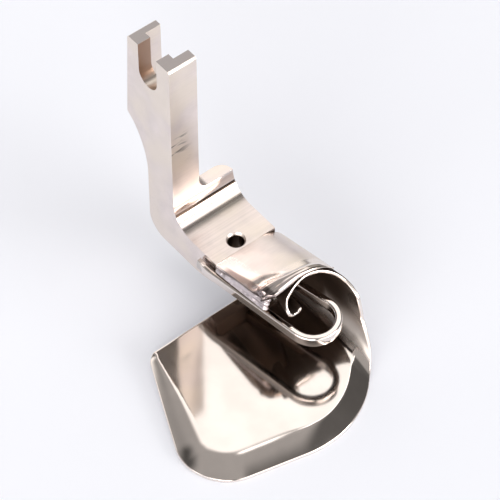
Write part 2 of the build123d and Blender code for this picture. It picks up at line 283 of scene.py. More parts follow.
class SeamSizes(bpy.types.PropertyGroup):
    rear: length("Rear", "Rear end of the seam, along Y", -2.3)
    front: length("Front", "Front end of the seam, along Y", -11.7)
    front_x: length("Front X", "Front end of the seam, along X", -4.3)
    radius: length("Bead", "Mean radius of the bead", 0.52)
    lump: length("Lump", "Largest radius of a lump", 0.6)
    smallest: number("Smallest", "Smallest lump as a share of the largest", 0.55)
    voxel: length("Voxel", "Size of the cells in which the lumps melt together", 0.09)
    lean: number("Lean", "How far the seam leans to the right as it rises", 0.33)
    lumps: IntProperty(name="Lumps", description="How many lumps lie on the bead", default=26, min=1)
    seed: IntProperty(name="Seed", description="Chooses the sizes of the lumps", default=4)


class Finishes(bpy.types.PropertyGroup):
    satin: colour("Satin nickel", "Colour of the milled faces", (0.80, 0.715, 0.685))
    # Warm patches are painted reflection, laid in at random
    warm_sheen: colour("Warm patches", "Colour of the painted_sheen patches of the milled faces", (0.84, 0.75, 0.64))
    polished: colour("Polished nickel", "Colour of the polished sheet", (0.86, 0.785, 0.74))
    # Painted shade inside the scroll and inside the cover
    inside: colour("Inside", "Colour of the painted_dark inside of the scroll", (0.03, 0.02, 0.015))
    # Painted shade: faces turned downwards, the needle hole, the sole's front end, and a painted dark
    # reflection line on the fillet
    under: colour("Underside", "Colour of the underside of the sole", (0.12, 0.085, 0.065))
    # Painted shade on the cover's left flank
    flank: colour("Flank", "Colour of the dull left flank of the cover", (0.27, 0.225, 0.22))
    ground: colour("Ground ends", "Colour of the ground top of the shank", (0.36, 0.33, 0.325))
    # Painted brown shade on the slot walls, and painted brown reflection on the fillet
    slot: colour("Slot", "Colour of the painted_dark walls of the clamp slot", (0.42, 0.29, 0.22))
    solder: colour("Solder", "Colour of the solder", (0.66, 0.595, 0.615))
    satin_roughness: number("Satin roughness", "Least roughness of the satin nickel", 0.27)
    polished_roughness: number("Polished roughness", "Least roughness of the polished nickel", 0.06)
    solder_roughness: number("Solder roughness", "Least roughness of the solder", 0.26)
    edge_bevel: length("Edge bevel", "Bevel of the milled edges", 0.22)
    edge_angle: angle("Edge angle", "Bend from which a milled edge is sharp", 32)


class Studio(bpy.types.PropertyGroup):
    azimuth: angle("Azimuth", "Direction that the camera looks from", -39.14)
    elevation: angle("Elevation", "Height that the camera looks from", 51.14)
    distance: length("Distance", "Camera to the origin's plane", 387.2)
    across: length("Across", "Offset of the view to the right", 1.99)
    upward: length("Upward", "Offset of the view upwards", 0.58)
    lift: length("Lift", "Height of the point that the view turns about", 2.4)
    lens: number("Lens", "Focal length in millimetres", 194.4)
    sensor: number("Sensor", "Width of the sensor in millimetres", 36.0)
    sky: number("Sky", "Level of the light between the panels", 0.40)
    horizon: number("Horizon", "How much of it is missing at the horizon", 0.26)
    lamp: colour("Lamp", "Colour of the light", (1.0, 0.97, 0.94))
    floor: colour("Floor", "Colour of the floor", (0.905, 0.935, 1.0))
    floor_gap: length("Floor gap", "Lowest edge of the foot to the floor", 0.05)
    floor_reach: length("Floor reach", "Half the side of the floor", 1000.0)
    floor_fade: length("Floor fade", "Where the floor starts to darken in reflections", 120.0)
    floor_end: length("Floor end", "Where it is dark in reflections", 220.0)
    floor_dark: number("Floor dark", "Level of the floor beyond that", 0.06)
    backdrop: colour("Backdrop", "White behind the foot", (0.92, 0.91, 1.0))
    glow: number("Glow", "Share of the backdrop's white in the floor", 0.2)


PROPERTY_GROUPS = {
    "hemmer_roof": RoofSizes,
    "hemmer_lip": LipSizes,
    "hemmer_scroll": ScrollSizes,
    "hemmer_cover": CoverSizes,
    "hemmer_tongue": TongueSizes,
    "hemmer_seam": SeamSizes,
    "hemmer_finish": Finishes,
    "hemmer_studio": Studio,
}


# Shader maths

class Value:
    """A node's output that takes part in arithmetic."""

    def __init__(self, nodes, socket):
        self.nodes = nodes
        self.socket = socket

    def _math(self, operation, first, second):
        return self.nodes.add("ShaderNodeMath", {"operation": operation}, {0: first, 1: second})

    def __add__(self, other):
        return self._math("ADD", self, other)

    def __radd__(self, other):
        return self._math("ADD", other, self)

    def __sub__(self, other):
        return self._math("SUBTRACT", self, other)

    def __rsub__(self, other):
        return self._math("SUBTRACT", other, self)

    def __mul__(self, other):
        return self._math("MULTIPLY", self, other)

    def __rmul__(self, other):
        return self._math("MULTIPLY", other, self)

    def __truediv__(self, other):
        return self._math("DIVIDE", self, other)

    def __rtruediv__(self, other):
        return self._math("DIVIDE", other, self)

    def __pow__(self, other):
        return self._math("POWER", self, other)

    def __rpow__(self, other):
        return self._math("POWER", other, self)

    def at_least(self, other):
        return self._math("MAXIMUM", self, other)

    def step(self, low, high):
        """Smooth rise from 0 to 1 between two values; falls if low is above high."""
        settings = {"interpolation_type": "SMOOTHSTEP"}
        if low < high:
            return self.nodes.add("ShaderNodeMapRange", settings, {0: self, 1: low, 2: high})
        return 1 - self.nodes.add("ShaderNodeMapRange", settings, {0: self, 1: high, 2: low})

    def above(self, place):
        """Smooth rise from 0 to 1 across a place where the finish changes."""
        middle, soft = PLACES[place]
        return self.step((middle - soft) * MM, (middle + soft) * MM)

    def below(self, place):
        """The fall from 1 to 0 across it."""
        middle, soft = PLACES[place]
        return self.step((middle + soft) * MM, (middle - soft) * MM)

    def size(self):
        return self._math("ABSOLUTE", self, 0)


class Nodes:
    """A node tree that is filled from an empty start."""

    def __init__(self, tree):
        self.tree = tree
        tree.nodes.clear()

    def add(self, kind, settings=None, inputs=None, output=0):
        """Adds a node: its settings first, then the values or links of its sockets."""
        node = self.tree.nodes.new(kind)
        for name, value in (settings or {}).items():
            setattr(node, name, value)
        for name, value in (inputs or {}).items():
            if isinstance(value, Value):
                self.tree.links.new(value.socket, node.inputs[name])
            else:
                node.inputs[name].default_value = value
        return Value(self, node.outputs[output]) if node.outputs else None

    def parts(self, vector):
        """The three numbers of a vector."""
        first = self.add("ShaderNodeSeparateXYZ", None, {0: vector})
        return [Value(self, socket) for socket in first.socket.node.outputs]

    def mixed(self, factor, first, second):
        """A colour between two colours."""
        settings = {"data_type": "RGBA"}
        return self.add("ShaderNodeMix", settings, {0: factor, 6: rgba(first), 7: rgba(second)}, 2)

    def dot(self, vector, direction):
        inputs = {0: vector, 1: tuple(direction)}
        return self.add("ShaderNodeVectorMath", {"operation": "DOT_PRODUCT"}, inputs, "Value")

    def noise(self, place, scale, detail, stretch=(1, 1, 1), roughness=0.5):
        moved = self.add("ShaderNodeMapping", None, {"Vector": place, "Scale": stretch})
        inputs = {"Vector": moved, "Scale": scale, "Detail": detail, "Roughness": roughness}
        return self.add("ShaderNodeTexNoise", None, inputs, "Fac")

    def bump(self, height, strength, distance):
        return self.add(
            "ShaderNodeBump", None, {"Height": height, "Strength": strength, "Distance": distance}, "Normal"
        )

    def here(self):
        return self.add("ShaderNodeTexCoord", None, None, "Object")

    def facing(self):
        """The three numbers of the surface's normal."""
        return self.parts(self.add("ShaderNodeNewGeometry", None, None, "Normal"))


def rgba(value):
    """A colour with its alpha; a link stays as it is."""
    if isinstance(value, Value):
        return value
    return (value[0], value[1], value[2], 1)


def scaled(tint, factor):
    return tuple(part * factor for part in tint[:3])


def new_material(name):
    material = bpy.data.materials.new(name)
    material.use_nodes = True
    return material, Nodes(material.node_tree)


def finish_metal(nodes, tint, roughness, normal, painted_shade=None):
    """Plated metal; a share and a colour of painted shade give places without shine."""
    inputs = {"Base Color": rgba(tint), "Metallic": 1.0, "Roughness": roughness, "Normal": normal}
    shader = nodes.add("ShaderNodeBsdfPrincipled", None, inputs)
    if painted_shade:
        plain = nodes.add("ShaderNodeBsdfDiffuse", None, {"Color": rgba(painted_shade[1])})
        shader = nodes.add("ShaderNodeMixShader", None, {0: painted_shade[0], 1: shader, 2: plain})
    nodes.add("ShaderNodeOutputMaterial", None, {"Surface": shader})


def satin_nickel(name, milled):
    """Fine lines, faint mottling and warm patches of painted reflection; the milled piece has tool marks,
    ground prong tops and places of painted shade and painted reflection, the cover a rim and painted shade.
    """
    finish = bpy.context.scene.hemmer_finish
    cover, roof = bpy.context.scene.hemmer_cover, bpy.context.scene.hemmer_roof
    material, nodes = new_material(name)
    place = nodes.here()
    x, y, z = nodes.parts(place)
    nx, ny, nz = nodes.facing()
    lines = nodes.noise(place, scale=260, detail=3, stretch=(0.25, 14, 14), roughness=0.6)
    mottle = nodes.noise(place, scale=420, detail=4)
    patches = nodes.noise(place, scale=110, detail=2)
    shade = (lines - 0.5) * 0.6 + (mottle - 0.5) * 0.9
    roughness = finish.satin_roughness + lines * 0.1 + patches * 0.06
    height = lines * 0.7 + mottle * 0.5
    if milled:
        # The sole's top has stronger lines; the fillet and the left face of the shank are smoother
        sole_face = nz.step(0.8, 0.95) * z.below("sole face")
        shade = shade + (lines - 0.5) * sole_face * 0.9
        fillet = z.above("fillet low") * z.below("fillet high") * y.above("fillet front") * ny.step(0.1, -0.1)
        left_face = nx.step(-0.8, -0.95)
        roughness = roughness - fillet * 0.2 - left_face * 0.15
        height = height * (1 - fillet * 0.92)
    else:
        # The cover is polished along its front edge and down its left side
        slant = math.tan(cover.front_turn)
        behind = y + x * slant - (cover.left_front - slant * roof.sole_left)
        rim = behind.below("rim").at_least(x.below("lobe right") * y.above("lobe front"))
        roughness = roughness - rim * 0.2
        height = height * (1 - rim * 0.9)
    tint = nodes.mixed(shade + 0.5, scaled(finish.satin, 0.84), scaled(finish.satin, 1.12))
    # Warm patches of painted reflection, laid in at random
    tint = nodes.mixed(patches.step(0.42, 0.66) * 0.6, tint, finish.warm_sheen)
    if milled:
        # Tool marks on the shank's front
        band = z.above("marks low") * z.below("marks high") * ny.step(-0.6, -0.9)
        cuts = nodes.noise(place, scale=260, detail=2, stretch=(0.8, 1, 3.4), roughness=0.7)
        marks = band * cuts.step(0.54, 0.64) * x.below("marks right")
        tint = nodes.mixed(marks, tint, scaled(finish.satin, 0.22))
        height = height - marks * 2.5
        # Painted shade in the needle hole and on the front end of the sole, ground prong tops, and painted
        # brown shade on the slot walls
        bore = ((x * x + y * y) ** 0.5).below("bore") * z.below("bore top")
        front_end = y.below("front end") * z.below("front top")
        tint = nodes.mixed(bore.at_least(front_end), tint, finish.under)
        tint = nodes.mixed(z.above("prong tops") * nz.step(0.6, 0.9), tint, finish.ground)
        slot = x.below("slot right") * z.above("slot low") * ny.size().step(0.4, 0.8)
        slot = slot * y.above("slot front") * y.below("slot rear")
        tint = nodes.mixed(slot, tint, finish.slot)
        # Painted reflection on the fillet: a brown upper part and a dark line under it
        upper = fillet * nz.step(0.46, 0.36) * nz.step(0.02, 0.2)
        tint = nodes.mixed(upper * 0.6, tint, finish.slot)
        dark_line = fillet * nz.step(0.58, 0.52) * nz.step(0.40, 0.46)
        tint = nodes.mixed(dark_line, tint, finish.under)
    else:
        # Painted shade on the left flank and inside the cover
        flank = (x + y * FLANK_SLANT + FLANK_LEFT).below("flank") * y.below("flank rear")
        tint = nodes.mixed(flank, tint, finish.flank)
        centre_x, centre_z, _ = roof_outside(roof.mouth)
        around = (x - centre_x) * nx + (z - centre_z) * nz
        tint = nodes.mixed(around.below("turned inwards"), tint, finish.inside)
    # Painted shade on faces turned downwards
    tint = nodes.mixed(nz.step(-0.05, -0.3), tint, finish.under)
    finish_metal(nodes, tint, roughness, nodes.bump(height, strength=0.25, distance=0.06 * MM))
    return material


def polished_nickel(name, painted_inside_shade):
    """Mirror polish with faint waves, clouds and wiping marks; a piece with painted inside shade is painted
    dark inside the scroll.
    """
    finish = bpy.context.scene.hemmer_finish
    material, nodes = new_material(name)
    place = nodes.here()
    waves = nodes.noise(place, scale=130, detail=1)
    clouds = nodes.noise(place, scale=160, detail=3)
    wipes = nodes.noise(place, scale=900, detail=3, stretch=(1, 0.35, 1), roughness=0.6)
    tint = nodes.mixed(clouds.step(0.3, 0.7), scaled(finish.polished, 0.94), scaled(finish.polished, 1.05))
    roughness = finish.polished_roughness + wipes * 0.06
    nx, ny, nz = nodes.facing()
    if painted_inside_shade:
        x, y, z = nodes.parts(place)
        # Painted shade inside the scroll: a near-black tint and a dark diffuse share
        outside = x.above("wall outside") * nx.step(0.1, 0.5)
        deep = y.above("deep front") * z.above("deep low") * x.above("deep left")
        inside = y.above("inside front") * z.above("inside low").at_least(deep)
        inside = inside * ny.step(-0.75, -0.35) * (1 - outside)
        tint = nodes.mixed(inside, tint, finish.inside)
        wiped_foot = x.above("foot left") * z.below("foot top")
        roughness = roughness + inside * 0.28 + wiped_foot * 0.2
        painted_shade = (inside * 0.85, finish.inside)
    else:
        # Painted shade on the tongue's faces turned downwards
        tint = nodes.mixed(nz.step(-0.3, -0.7), tint, finish.under)
        painted_shade = None
    finish_metal(nodes, tint, roughness, nodes.bump(waves, strength=0.35, distance=0.1 * MM), painted_shade)
    return material


def solder_metal(name):
    """Grainy grey metal with small lumps, with painted shade underneath."""
    finish = bpy.context.scene.hemmer_finish
    material, nodes = new_material(name)
    place = nodes.here()
    grain = nodes.noise(place, scale=1500, detail=4)
    lumps = nodes.noise(place, scale=620, detail=2)
    tint = nodes.mixed(grain, scaled(finish.solder, 0.8), scaled(finish.solder, 1.12))
    upward = nodes.facing()[2]
    # Painted shade on faces turned downwards
    tint = nodes.mixed(upward.step(0.0, -0.3), tint, finish.under)
    normal = nodes.bump(lumps + grain * 0.25, strength=0.7, distance=0.4 * MM)
    finish_metal(nodes, tint, finish.solder_roughness + grain * 0.2, normal)
    return material


# Mesh helpers

def link_mesh(name, vertices, faces, material, rounded=True):
    """A mesh object whose faces are turned outwards."""
    mesh = bpy.data.meshes.new(name)
    mesh.from_pydata([tuple(point) for point in vertices], [], faces)
    work = bmesh.new()
    work.from_mesh(mesh)
    bmesh.ops.remove_doubles(work, verts=work.verts, dist=WELD)
    bmesh.ops.recalc_face_normals(work, faces=work.faces)
    for face in work.faces:
        face.smooth = rounded
    work.to_mesh(mesh)
    work.free()
    mesh.materials.append(material)
    piece = bpy.data.objects.new(name, mesh)
    bpy.context.scene.collection.objects.link(piece)
    return piece


def settle(piece, node):
    """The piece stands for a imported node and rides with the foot."""
    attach(piece, BODY)
    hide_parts(node)


def mix(first, second, share):
    return first + (second - first) * share


def smooth(value, low, high):
    """Smooth rise from 0 to 1 between two values."""
    share = np.clip((value - low) / (high - low), 0, 1)
    return share * share * (3 - 2 * share)


def spread(count, gather_start, gather_end):
    """Shares from 0 to 1 that crowd towards either end."""
    share = np.linspace(0, 1, count)
    start = share ** gather_start
    end = 1 - (1 - share) ** gather_end
    return mix(start, end, share)


def rounded_corner(before, corner, after, radius, count=SHORT_ARC_POINTS):
    """Points of the arc that rounds a corner."""
    before, corner, after = (np.array(point, float) for point in (before, corner, after))
    first = (before - corner) / np.linalg.norm(before - corner)
    second = (after - corner) / np.linalg.norm(after - corner)
    half = math.acos(np.clip(first @ second, -1, 1)) / 2
    reach = radius / math.tan(half)
    bisector = (first + second) / np.linalg.norm(first + second)
    centre = corner + bisector * radius / math.sin(half)
    start = corner + first * reach - centre
    end = corner + second * reach - centre
    turn = math.atan2(start[0] * end[1] - start[1] * end[0], start @ end)
    points = []
    for share in np.linspace(0, 1, count):
        c, s = math.cos(turn * share), math.sin(turn * share)
        points.append(centre + np.array([c * start[0] - s * start[1], s * start[0] + c * start[1]]))
    return np.array(points)


def resample(points, shares):
    """Points at given shares of a polyline's length."""
    steps = np.linalg.norm(np.diff(points, axis=0), axis=1)
    along = np.concatenate([[0], np.cumsum(steps)])
    along /= along[-1]
    return np.stack([np.interp(shares, along, points[:, axis]) for axis in range(points.shape[1])], 1)


def distance_to(points, line):
    """Distance of each point from a polyline."""
    best = np.full(len(points), np.inf)
    for start, end in zip(line[:-1], line[1:]):
        run = end - start
        square = run @ run
        if square < TINY ** 2:
            continue
        share = np.clip(((points - start) @ run) / square, 0, 1)
        best = np.minimum(best, np.linalg.norm(points - (start + share[:, None] * run), axis=1))
    return best


def shell(name, outer, inner, material, bulge, front_bulge, steps):
    """Closed sheet between two grids of points, with rounded rims; the last row is the front one."""
    columns, rows = outer.shape[:2]
    count = columns * rows
    vertices = list(outer.reshape(-1, 3)) + list(inner.reshape(-1, 3))

    def vertex(i, j, layer):
        return layer * count + i * rows + j

    faces = []
    for i in range(columns - 1):
        for j in range(rows - 1):
            corners = [(i, j), (i + 1, j), (i + 1, j + 1), (i, j + 1)]
            faces.append([vertex(a, b, 0) for a, b in corners])
            faces.append([vertex(a, b, 1) for a, b in reversed(corners)])
    rim = [(i, 0) for i in range(columns)] + [(columns - 1, j) for j in range(1, rows)]
    rim += [(i, rows - 1) for i in range(columns - 2, -1, -1)] + [(0, j) for j in range(rows - 2, 0, -1)]
    ladders = []
    for i, j in rim:
        inside = (min(max(i, 1), columns - 2), min(max(j, 1), rows - 2))
        middle = (outer[i, j] + inner[i, j]) / 2
        away = middle - (outer[inside] + inner[inside]) / 2
        half = (outer[i, j] - inner[i, j]) / 2
        across = half / max(np.linalg.norm(half), TINY)
        away = away - across * (away @ across)
        away /= max(np.linalg.norm(away), TINY)
        ladder = [vertex(i, j, 0)]
        most = np.linalg.norm(half) * (front_bulge if j == rows - 1 else bulge)
        for step in range(1, steps):
            turn = math.pi * step / steps
            ladder.append(len(vertices))
            vertices.append(middle + half * math.cos(turn) + away * most * math.sin(turn))
        ladder.append(vertex(i, j, 1))
        ladders.append(ladder)
    for here, there in zip(ladders, ladders[1:] + ladders[:1]):
        for step in range(steps):
            faces.append([here[step], here[step + 1], there[step + 1], there[step]])
    return link_mesh(name, vertices, faces, material)


# Shapes of the roof and the scroll

def roof_outside(y):
    """Centre X, centre height and radius of the cover's outside at a section."""
    roof = bpy.context.scene.hemmer_roof
    corner_z = roof.lip_top - roof.sheet + roof.wall_corner
    rear_radius = roof.sole_top - corner_z
    share = (roof.sole_front - y) / (roof.sole_front - roof.mouth)
    radius = mix(rear_radius, roof.mouth_radius, share)
    height = mix(corner_z, roof.mouth_top - roof.mouth_radius, share)
    return roof.wall_right - radius, height, radius


def roof_inside(y):
    """The same for the cover's inside, which is the scroll sheet's outside."""
    roof = bpy.context.scene.hemmer_roof
    share = (roof.sole_front - y) / (roof.sole_front - roof.mouth)
    _, height, radius = roof_outside(y)
    radius -= mix(roof.rear_thickness, roof.mouth_thickness, share)
    return roof.wall_right - radius, height, radius


def on_circle(x, z, radius, turn):
    return x + radius * math.cos(turn), z + radius * math.sin(turn)


def scroll_point(part, share, y):
    """A point of the sheet's outside beyond the lip, and the direction to its inside."""
    roof = bpy.context.scene.hemmer_roof
    scroll = bpy.context.scene.hemmer_scroll
    corner_z = roof.lip_top - roof.sheet + roof.wall_corner
    x, z, radius = roof_inside(y)
    if part == "corner":
        turn = math.radians(-90 * (1 - share))
        px, pz = on_circle(roof.wall_right - roof.wall_corner, corner_z, roof.wall_corner, turn)
    elif part == "wall":
        turn = 0.0
        px, pz = roof.wall_right, mix(corner_z, z, share)
    elif part == "roof":
        turn = scroll.leaves * share
        px, pz = on_circle(x, z, radius, turn)
    else:
        run = (scroll.curl_rear - y) / (scroll.curl_rear - scroll.curl_front)
        curl_r = mix(scroll.curl_rear_radius, scroll.curl_radius, run)
        cx, cz = on_circle(x, z, radius - curl_r, scroll.leaves)
        if part == "curl":
            turn = mix(scroll.leaves, scroll.hook_from, share)
            px, pz = on_circle(cx, cz, curl_r, turn)
        else:
            hook_r = curl_r * scroll.hook_share
            hx, hz = on_circle(cx, cz, curl_r - hook_r, scroll.hook_from)
            turn = mix(scroll.hook_from, scroll.hook_to, share)
            px, pz = on_circle(hx, hz, hook_r, turn)
    return px, pz, -math.cos(turn), -math.sin(turn)


def lip_edges():
    """Rear, left and front edges of the lip in plan; the front one runs on to the wall."""
    lip = bpy.context.scene.hemmer_lip
    wall = bpy.context.scene.hemmer_roof.wall_right
    rear_right = (wall, lip.rear)
    rear_left = (lip.left, lip.rear)
    left = (lip.left_reach, lip.left_front)
    front = (lip.front_x, lip.front_y)
    last = (wall, lip.wall_front)
    rear_arc = rounded_corner(rear_right, rear_left, left, lip.rear_round)
    left_arc = rounded_corner(rear_left, left, front, lip.left_round, LONG_ARC_POINTS)
    front_arc = rounded_corner(left, front, last, lip.front_round, LONG_ARC_POINTS)
    wall_arc = rounded_corner(front, last, rear_right, lip.wall_round, LONG_ARC_POINTS)
    rim = np.concatenate([[rear_right], rear_arc, left_arc, front_arc, wall_arc])
    ahead = np.gradient(rim, axis=0)
    ahead /= np.linalg.norm(ahead, axis=1)[:, None]
    rim += np.stack([-ahead[:, 1], ahead[:, 0]], 1) * RIM_BULGE * bpy.context.scene.hemmer_roof.sheet / 2
    rear_corner = 1 + len(rear_arc) // 2
    left_corner = 1 + len(rear_arc) + len(left_arc) // 2
    return rim[: rear_corner + 1][::-1], rim[rear_corner : left_corner + 1], rim[left_corner:]


def cut_at(points, x):
    """The stretch of a line that runs to the right, up to a given X."""
    kept = [point for point in points if point[0] < x]
    y = np.interp(x, points[:, 0], points[:, 1])
    return np.array(kept + [np.array([x, y])])


def lip_grid(edges, down):
    """Plan of the lip as a patch between its four edges."""
    roof = bpy.context.scene.hemmer_roof
    rear_edge, left_edge, front_edge = edges
    foot = roof.wall_right - roof.wall_corner
    across = spread(LIP_COLUMNS, gather_start=1.7, gather_end=1.0)
    rear = resample(cut_at(rear_edge, foot), across)
    front = resample(cut_at(front_edge, foot), across)
    left = resample(left_edge, down)
    right = mix(rear[-1], front[-1], down[:, None])
    u, v = across[:, None, None], down[None, :, None]
    patch = mix(rear[:, None], front[:, None], v) + mix(left[None], right[None], u)
    near = mix(rear[0], rear[-1], u)
    away = mix(front[0], front[-1], u)
    return patch - mix(near, away, v)


def scroll_columns():
    """Stretches of the sheet beyond the lip, as pairs of a name and a share."""
    columns = []
    for part, count in SCROLL_COLUMNS.items():
        columns += [(part, share) for share in np.linspace(0, 1, count + 1)[1:]]
    return columns


def front_of(part, share, front_edge):
    """Where the sheet's front edge cuts a stretch beyond the lip."""
    roof = bpy.context.scene.hemmer_roof
    lip = bpy.context.scene.hemmer_lip
    scroll = bpy.context.scene.hemmer_scroll
    low_edge = roof.lip_top - lip.drop
    wall_z = [low_edge, scroll.wall_height, scroll.side_height, roof.mouth_top]
    wall_y = [lip.front_y, scroll.wall_middle, scroll.side_front, scroll.roof_front]
    curl_z = [roof.mouth_top - scroll.edge_fall, roof.mouth_top - roof.sheet]
    curl_y = [scroll.edge_top - scroll.edge_run, scroll.edge_top]
    y = scroll.wall_middle
    for _ in range(SCROLL_EDGE_ROUNDS):
        x, z = scroll_point(part, share, y)[:2]
        if part in ("curl", "hook"):
            cut = np.interp(z, curl_z, curl_y) if part == "curl" else curl_y[0]
        else:
            cut = max(np.interp(z, wall_z, wall_y), np.interp(x, front_edge[:, 0], front_edge[:, 1]))
        y = mix(y, cut, SCROLL_EDGE_PACE)
    return y


def scroll_grids():
    """Outer and inner points of the whole scroll plate."""
    roof = bpy.context.scene.hemmer_roof
    lip = bpy.context.scene.hemmer_lip
    scroll = bpy.context.scene.hemmer_scroll
    down = spread(SCROLL_ROWS, gather_start=1.0, gather_end=1.9)
    edges = lip_edges()
    plan = lip_grid(edges, down)
    flat = plan.reshape(-1, 2)
    gap = distance_to(flat, np.concatenate(edges[1:]))
    soft = 1 - smooth(flat[:, 0], lip.soft_left, lip.soft_right)
    taper = np.clip((flat[:, 1] - lip.rear_taper) / (lip.rear - lip.rear_taper), 0, 1) * soft
    width = mix(mix(lip.border, lip.soft_border, soft), lip.rear_border, taper)
    share = np.clip(1 - gap / width, 0, 1)
    left_power = mix(lip.soft_power, lip.rear_power, smooth(taper, 0, lip.rear_bend))
    drop = lip.drop * mix(1, lip.rear_drop, taper) * share ** mix(lip.sharp_power, left_power, soft)
    outer = np.zeros((*plan.shape[:2], 3))
    outer[..., :2] = plan
    outer[..., 2] = roof.lip_top - roof.sheet - drop.reshape(plan.shape[:2])
    inner = outer + np.array([0, 0, roof.sheet])

    columns = scroll_columns()
    fronts = np.array([front_of(part, place, edges[2]) for part, place in columns])
    for _ in range(SMOOTHING_ROUNDS):
        fronts[1:-1] = (fronts[:-2] + 2 * fronts[1:-1] + fronts[2:]) / 4
    beyond_outer = np.zeros((len(columns), len(down), 3))
    beyond_inner = np.zeros_like(beyond_outer)
    turns = {"corner": 0, "wall": 0, "roof": scroll.leaves, "curl": math.pi, "hook": math.pi}
    for column, (part, place) in enumerate(columns):
        turn = turns[part] * (place if part == "roof" else 1)
        rear = mix(lip.rear, scroll.curl_rear, smooth(turn, scroll.step_from, scroll.step_to))
        fade = 1 - smooth(place, 0.0, lip.wall_carry) if part == "corner" else 0
        for row, along in enumerate(down):
            y = mix(rear, fronts[column], along)
            x, z, nx, nz = scroll_point(part, place, y)
            near = np.clip(1 - (y - fronts[column]) / lip.wall_border, 0, 1)
            fall = lip.drop * fade * near ** mix(lip.sharp_power, lip.wall_power, place)
            beyond_outer[column, row] = (x, y, z - fall)
            beyond_inner[column, row] = (x + nx * roof.sheet, y, z + nz * roof.sheet - fall)
    return np.concatenate([outer, beyond_outer]), np.concatenate([inner, beyond_inner])


def cover_grids():
    """Outer and inner points of the cover, with its flared rim."""
    roof = bpy.context.scene.hemmer_roof
    cover = bpy.context.scene.hemmer_cover
    scroll = bpy.context.scene.hemmer_scroll
    top = math.radians(90)
    columns = [("left", share) for share in np.linspace(0, 1, COVER_LEFT_COLUMNS)]
    columns += [("right", share) for share in np.linspace(0, 1, COVER_RIGHT_COLUMNS)[1:]]

    def section(circle, part, place, rear):
        x, z, radius = circle
        if part == "right":
            return on_circle(x, z, radius, mix(top, cover.right, place))
        if rear:
            return mix(-roof.sole_left, x, place), z + radius
        return on_circle(x, z, radius, mix(cover.left, top, place))

    along = spread(COVER_ROWS, gather_start=1.0, gather_end=2.0)
    outer = np.zeros((len(columns), len(along), 3))
    inner = np.zeros_like(outer)
    for column, (part, place) in enumerate(columns):
        ends = []
        for circle in (roof_outside, roof_inside):
            rear = section(circle(roof.sole_front), part, place, True)
            front = section(circle(scroll.curl_front), part, place, False)
            ends.append((np.array(rear), np.array(front)))
        edge = cover.left_front
        for _ in range(COVER_EDGE_ROUNDS):
            share = (roof.sole_front - edge) / (roof.sole_front - scroll.curl_front)
            x = mix(*ends[0], share)[0]
            edge = cover.left_front - math.tan(cover.front_turn) * (x + roof.sole_left)
        if part == "left":
            side = 1 - smooth(place, cover.side_share, 1.0)
            end = 1 - smooth(place, 0.0, cover.end_share)
            fading = 1 - cover.end_fade * end
        else:
            side, end = 0.0, 0.0
            fading = (1 - place) ** cover.right_fade
        flare = mix(cover.flare, cover.left_flare, side) * fading
        valley = cover.valley * side * (1 - end)
        lean = cover.lean * side * (1 - end)
        roll = mix(cover.roll, cover.left_roll, side)
        for row, run in enumerate(along):
            y = mix(roof.sole_front, edge, run)
            share = (roof.sole_front - y) / (roof.sole_front - scroll.curl_front)
            out_x, out_z = mix(*ends[0], share)
            in_x, in_z = mix(*ends[1], share)
            away = np.array([out_x - in_x, out_z - in_z])
            away /= max(np.linalg.norm(away), TINY)
            behind = (y - edge) / roll
            rise = flare * math.exp(-cover.sharpness * (behind - 1) ** 2)
            rise -= valley * math.exp(-((behind - cover.valley_place) ** 2))
            outer[column, row] = (out_x + away[0] * rise, y, out_z + away[1] * rise)
            inner[column, row] = (in_x, y - lean * run ** cover.lean_power, in_z)
    return outer, inner


def tongue_line():
    """Middle line of the bar in plan: along the sole's side, round the tip and back to the sole's front."""
    roof = bpy.context.scene.hemmer_roof
    tongue = bpy.context.scene.hemmer_tongue
    tip = np.array([tongue.tip_x, tongue.tip_y])
    radius = tongue.tip_radius - tongue.width / 2
    side = -roof.sole_left - tongue.tab_width / 2
    knee = np.array([side, (tongue.tab_front + roof.sole_front) / 2])
    root = np.array([tongue.root_right - tongue.width / 2, roof.sole_front])

    def touch(point, way):
        run = point - tip
        return math.atan2(run[1], run[0]) + way * math.acos(radius / np.linalg.norm(run))

    turns = np.linspace(touch(knee, 1), touch(root, -1) + 2 * math.pi, BEND_POINTS)
    bend = tip + radius * np.stack([np.cos(turns), np.sin(turns)], 1)
    rear = np.array([side, tongue.tab_rear])
    return np.concatenate([[rear], rounded_corner(rear, knee, bend[0], tongue.knee), bend, [root]])


def bar_section():
    """Rounded section of the bar, as pairs of a step outwards and a height."""
    tongue = bpy.context.scene.hemmer_tongue
    reach = tongue.width / 2 - tongue.edge
    rise = tongue.height / 2 - tongue.edge
    points = []
    for corner, (out, up) in enumerate(((1, 1), (-1, 1), (-1, -1), (1, -1))):
        for turn in np.radians(np.linspace(0, 90, SECTION_POINTS) + 90 * corner):
            points.append(on_circle(out * reach, up * rise, tongue.edge, turn))
    return points


def swept_bar(line, section, height):
    """Vertices and faces of a section carried along a line in plan."""
    steps = np.gradient(line, axis=0)
    steps /= np.linalg.norm(steps, axis=1)[:, None]
    outward = np.stack([steps[:, 1], -steps[:, 0]], 1)
    count = len(section)
    tongue = bpy.context.scene.hemmer_tongue
    tab = smooth(line[:, 1], tongue.slope_front, tongue.slope_full)
    vertices = []
    for place, out, share in zip(line, outward, tab):
        for step, up in section:
            across = step * 2 / tongue.width
            inward = max(-across - tongue.groove_share, 0) / (1 - tongue.groove_share)
            fall = share * (tongue.slope * (1 + across) / 2 + tongue.groove * inward)
            vertices.append((*(place + out * step), height + up - (fall if up > 0 else 0)))
    faces = [list(range(count)), list(range(len(vertices) - count, len(vertices)))]
    for ring in range(len(line) - 1):
        for i in range(count):
            j = (i + 1) % count
            here, there = ring * count, (ring + 1) * count
            faces.append([here + i, here + j, there + j, there + i])
    return vertices, faces


# Operators

